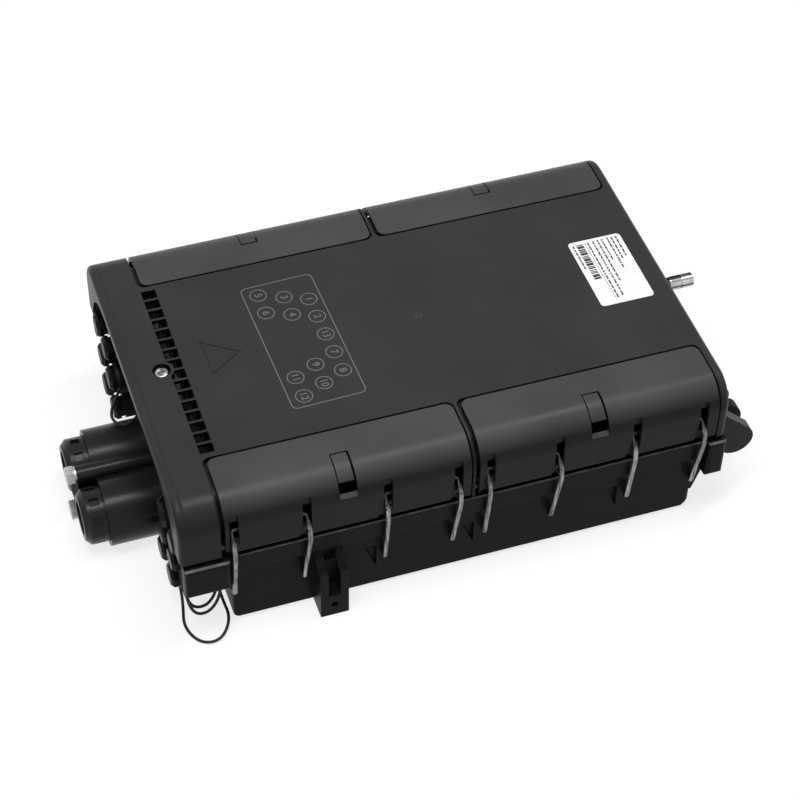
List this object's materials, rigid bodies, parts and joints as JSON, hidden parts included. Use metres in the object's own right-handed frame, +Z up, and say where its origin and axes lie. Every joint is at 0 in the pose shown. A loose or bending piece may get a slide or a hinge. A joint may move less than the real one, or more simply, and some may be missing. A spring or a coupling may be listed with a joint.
{
  "type": "fibre distribution hub box",
  "caption": "Sealed fibre distribution box with a hooded cover, capped ports, an oval cable gland, lever latches with wire bails and a rear hinge.",
  "frame": {"origin": "middle of the latch zone, on the underside of the tub", "axes": "+X along the box from the ports to the hinge, +Y across it, +Z up through the cover"},
  "size_m": [0.4782, 0.2871, 0.127],
  "materials": {
    "shell_black": "fine grained moulding",
    "flap_black": "fine grained moulding",
    "cap_black": "satin",
    "gland_black": "satin",
    "seal_rubber": "matte",
    "cord_rubber": "satin",
    "wire_steel": "drawn stainless wire",
    "zinc_steel": "zinc plated",
    "nickel": "nickel plated",
    "sticker_white": "printed film",
    "tray_grey": "smooth moulding"
  },
  "bodies": {
    "housing": {"base_shell": "shell_black", "cable_clamp": "tray_grey", "cover_gasket": "seal_rubber", "cover_screw": "zinc_steel", "cover_shell": "shell_black", "gland_bolts": "zinc_steel", "gland_collar": "gland_black", "gland_plate": "gland_black", "gland_plugs": "gland_black", "gland_seal": "seal_rubber", "gland_washers": "zinc_steel", "hinge_rod": "zinc_steel", "label_sticker": "sticker_white", "lanyard_04": "cord_rubber", "lanyard_08": "cord_rubber", "lanyard_09": "cord_rubber", "lanyard_10": "cord_rubber", "lanyard_12": "cord_rubber", "lanyard_rings": "cord_rubber", "latch_rod_far": "zinc_steel", "latch_rod_near": "zinc_steel", "port_adapters": "cap_black", "splice_tray_1": "tray_grey", "splice_tray_2": "tray_grey", "splice_tray_3": "tray_grey", "splitter_module": "tray_grey", "valve_body": "nickel", "valve_cap": "nickel"},
    "flap_near_port": {"latch_flap_near_port": "flap_black"},
    "bails_near_port": {"latch_bails_near_port": "wire_steel"},
    "flap_near_hinge": {"latch_flap_near_hinge": "flap_black"},
    "bails_near_hinge": {"latch_bails_near_hinge": "wire_steel"},
    "flap_far_port": {"latch_flap_far_port": "flap_black"},
    "bails_far_port": {"latch_bails_far_port": "wire_steel"},
    "flap_far_hinge": {"latch_flap_far_hinge": "flap_black"},
    "bails_far_hinge": {"latch_bails_far_hinge": "wire_steel"},
    "cap_01": {"dust_cap_01": "cap_black"},
    "cap_02": {"dust_cap_02": "cap_black"},
    "cap_03": {"dust_cap_03": "cap_black"},
    "cap_04": {"dust_cap_04": "cap_black"},
    "cap_05": {"dust_cap_05": "cap_black"},
    "cap_06": {"dust_cap_06": "cap_black"},
    "cap_07": {"dust_cap_07": "cap_black"},
    "cap_08": {"dust_cap_08": "cap_black"},
    "cap_09": {"dust_cap_09": "cap_black"},
    "cap_10": {"dust_cap_10": "cap_black"},
    "cap_11": {"dust_cap_11": "cap_black"},
    "cap_12": {"dust_cap_12": "cap_black"}
  },
  "joints": [
    {"name": "latch_near_port", "type": "hinge", "parent": "housing", "child": "flap_near_port", "pos_m": [0, -0.1285, 0.083], "axis": [1, 0, 0], "range_deg": [0, 100]},
    {"name": "bail_near_port", "type": "hinge", "parent": "flap_near_port", "child": "bails_near_port", "pos_m": [0, -0.127, 0.0965], "axis": [1, 0, 0], "range_deg": [-100, 0]},
    {"name": "latch_near_hinge", "type": "hinge", "parent": "housing", "child": "flap_near_hinge", "pos_m": [0, -0.1285, 0.083], "axis": [1, 0, 0], "range_deg": [0, 100]},
    {"name": "bail_near_hinge", "type": "hinge", "parent": "flap_near_hinge", "child": "bails_near_hinge", "pos_m": [0, -0.127, 0.0965], "axis": [1, 0, 0], "range_deg": [-100, 0]},
    {"name": "latch_far_port", "type": "hinge", "parent": "housing", "child": "flap_far_port", "pos_m": [0, 0.1285, 0.083], "axis": [-1, 0, 0], "range_deg": [0, 100]},
    {"name": "bail_far_port", "type": "hinge", "parent": "flap_far_port", "child": "bails_far_port", "pos_m": [0, 0.127, 0.0965], "axis": [-1, 0, 0], "range_deg": [-100, 0]},
    {"name": "latch_far_hinge", "type": "hinge", "parent": "housing", "child": "flap_far_hinge", "pos_m": [0, 0.1285, 0.083], "axis": [-1, 0, 0], "range_deg": [0, 100]},
    {"name": "bail_far_hinge", "type": "hinge", "parent": "flap_far_hinge", "child": "bails_far_hinge", "pos_m": [0, 0.127, 0.0965], "axis": [-1, 0, 0], "range_deg": [-100, 0]},
    {"name": "cap_turn_01", "type": "hinge", "parent": "housing", "child": "cap_01", "pos_m": [-0.203, 0.096, 0.027], "axis": [1, 0, 0], "range_deg": [0, 90]},
    {"name": "cap_turn_02", "type": "hinge", "parent": "housing", "child": "cap_02", "pos_m": [-0.203, 0.071, 0.027], "axis": [1, 0, 0], "range_deg": [0, 90]},
    {"name": "cap_turn_03", "type": "hinge", "parent": "housing", "child": "cap_03", "pos_m": [-0.203, 0.1025, 0.052], "axis": [1, 0, 0], "range_deg": [0, 90]},
    {"name": "cap_turn_04", "type": "hinge", "parent": "housing", "child": "cap_04", "pos_m": [-0.203, 0.0775, 0.052], "axis": [1, 0, 0], "range_deg": [0, 90]},
    {"name": "cap_turn_05", "type": "hinge", "parent": "housing", "child": "cap_05", "pos_m": [-0.203, 0.109, 0.077], "axis": [1, 0, 0], "range_deg": [0, 90]},
    {"name": "cap_turn_06", "type": "hinge", "parent": "housing", "child": "cap_06", "pos_m": [-0.203, 0.084, 0.077], "axis": [1, 0, 0], "range_deg": [0, 90]},
    {"name": "cap_turn_07", "type": "hinge", "parent": "housing", "child": "cap_07", "pos_m": [-0.203, -0.071, 0.027], "axis": [1, 0, 0], "range_deg": [0, 90]},
    {"name": "cap_turn_08", "type": "hinge", "parent": "housing", "child": "cap_08", "pos_m": [-0.203, -0.096, 0.027], "axis": [1, 0, 0], "range_deg": [0, 90]},
    {"name": "cap_turn_09", "type": "hinge", "parent": "housing", "child": "cap_09", "pos_m": [-0.203, -0.0775, 0.052], "axis": [1, 0, 0], "range_deg": [0, 90]},
    {"name": "cap_turn_10", "type": "hinge", "parent": "housing", "child": "cap_10", "pos_m": [-0.203, -0.1025, 0.052], "axis": [1, 0, 0], "range_deg": [0, 90]},
    {"name": "cap_turn_11", "type": "hinge", "parent": "housing", "child": "cap_11", "pos_m": [-0.203, -0.084, 0.077], "axis": [1, 0, 0], "range_deg": [0, 90]},
    {"name": "cap_turn_12", "type": "hinge", "parent": "housing", "child": "cap_12", "pos_m": [-0.203, -0.109, 0.077], "axis": [1, 0, 0], "range_deg": [0, 90]}
  ],
  "couplings": [
    {"joint": "bail_near_port", "follows": "latch_near_port", "ratio": -1},
    {"joint": "bail_near_hinge", "follows": "latch_near_hinge", "ratio": -1},
    {"joint": "bail_far_port", "follows": "latch_far_port", "ratio": -1},
    {"joint": "bail_far_hinge", "follows": "latch_far_hinge", "ratio": -1}
  ]
}
